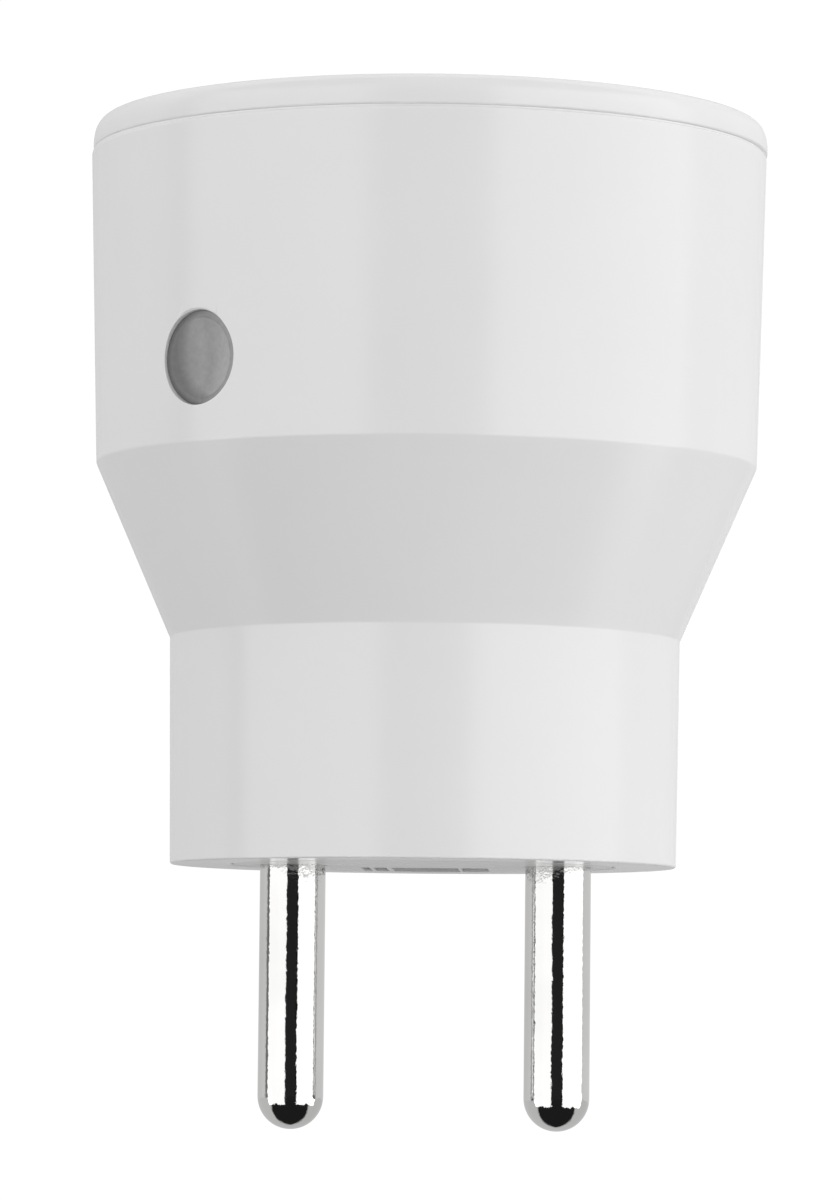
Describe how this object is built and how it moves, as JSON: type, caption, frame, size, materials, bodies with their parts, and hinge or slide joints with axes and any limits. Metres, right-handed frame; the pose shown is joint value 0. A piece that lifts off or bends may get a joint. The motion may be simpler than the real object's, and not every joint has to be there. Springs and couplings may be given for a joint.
{
  "type": "plug in power meter",
  "caption": "Round white plug-in power meter: two round pins below, earthed socket above, and a dished grey button with a status light on the side.",
  "frame": {"origin": "centre of the plug's engagement face, midway between the two pins", "axes": "-Z along the plug pins, +Z out of the socket, +Y towards the earth contact, X through both pins"},
  "size_m": [0.049, 0.049, 0.0728],
  "materials": {
    "white_plastic": "satin",
    "base_plastic": "satin",
    "nickel": "polished",
    "spring_steel": "satin",
    "contact_brass": "satin",
    "carrier_plastic": "matte",
    "shutter_plastic": "satin",
    "button_plastic": "satin",
    "board_laminate": "satin",
    "relay_case": "satin",
    "film_case": "satin",
    "varistor_coat": "satin",
    "capacitor_can": "satin",
    "ferrite": "satin",
    "fuse_ceramic": "satin",
    "manganin": "satin",
    "chip_resin": "matte",
    "connector_plastic": "satin",
    "shield_can": "satin",
    "led_lens": "gloss",
    "copper_wire": "satin",
    "plunger_plastic": "satin",
    "screw_steel": "satin"
  },
  "bodies": {
    "adaptor": {"main_housing": "white_plastic", "socket_cover": "white_plastic", "base_insert": "base_plastic", "line_pin": "nickel", "neutral_pin": "nickel", "earth_pin": "nickel", "earth_clip": "spring_steel", "shutter_spring": "spring_steel", "line_contact": "contact_brass", "neutral_contact": "contact_brass", "line_busbar": "contact_brass", "neutral_busbar": "contact_brass", "earth_strap": "contact_brass", "contact_carrier": "carrier_plastic", "power_board": "board_laminate", "control_board": "board_laminate", "relay": "relay_case", "mains_capacitor": "film_case", "surge_varistor": "varistor_coat", "smoothing_capacitor": "capacitor_can", "filter_inductor": "ferrite", "line_fuse": "fuse_ceramic", "current_shunt": "manganin", "supply_chip": "chip_resin", "bridge_rectifier": "chip_resin", "metering_chip": "chip_resin", "tact_switch": "chip_resin", "board_connector": "connector_plastic", "radio_module": "shield_can", "status_led": "led_lens", "antenna_coil": "copper_wire", "cover_screw_1": "screw_steel", "cover_screw_2": "screw_steel", "cover_screw_3": "screw_steel", "board_screw_1": "screw_steel", "board_screw_2": "screw_steel"},
    "button": {"push_button": "button_plastic"},
    "plunger": {"switch_plunger": "plunger_plastic"},
    "safety_shutter": {"shutter": "shutter_plastic"}
  },
  "joints": [
    {"name": "button_press", "type": "slide", "parent": "adaptor", "child": "button", "axis": [0.6428, 0.766, 0], "range_m": [0, 0.0004], "stiffness_N_per_m": 1000, "springref_m": -0.0015},
    {"name": "switch_plunger_press", "type": "slide", "parent": "adaptor", "child": "plunger", "axis": [0.6428, 0.766, 0], "range_m": [0, 0.0004]},
    {"name": "shutter_turn", "type": "hinge", "parent": "adaptor", "child": "safety_shutter", "pos_m": [0, 0, 0.0355], "axis": [0, 0, 1], "range_deg": [0, 38], "stiffness_Nm_per_rad": 0.002, "springref_deg": -28.65, "deforming": ["shutter_spring"]}
  ],
  "couplings": [
    {"joint": "switch_plunger_press", "follows": "button_press", "ratio": 1}
  ]
}
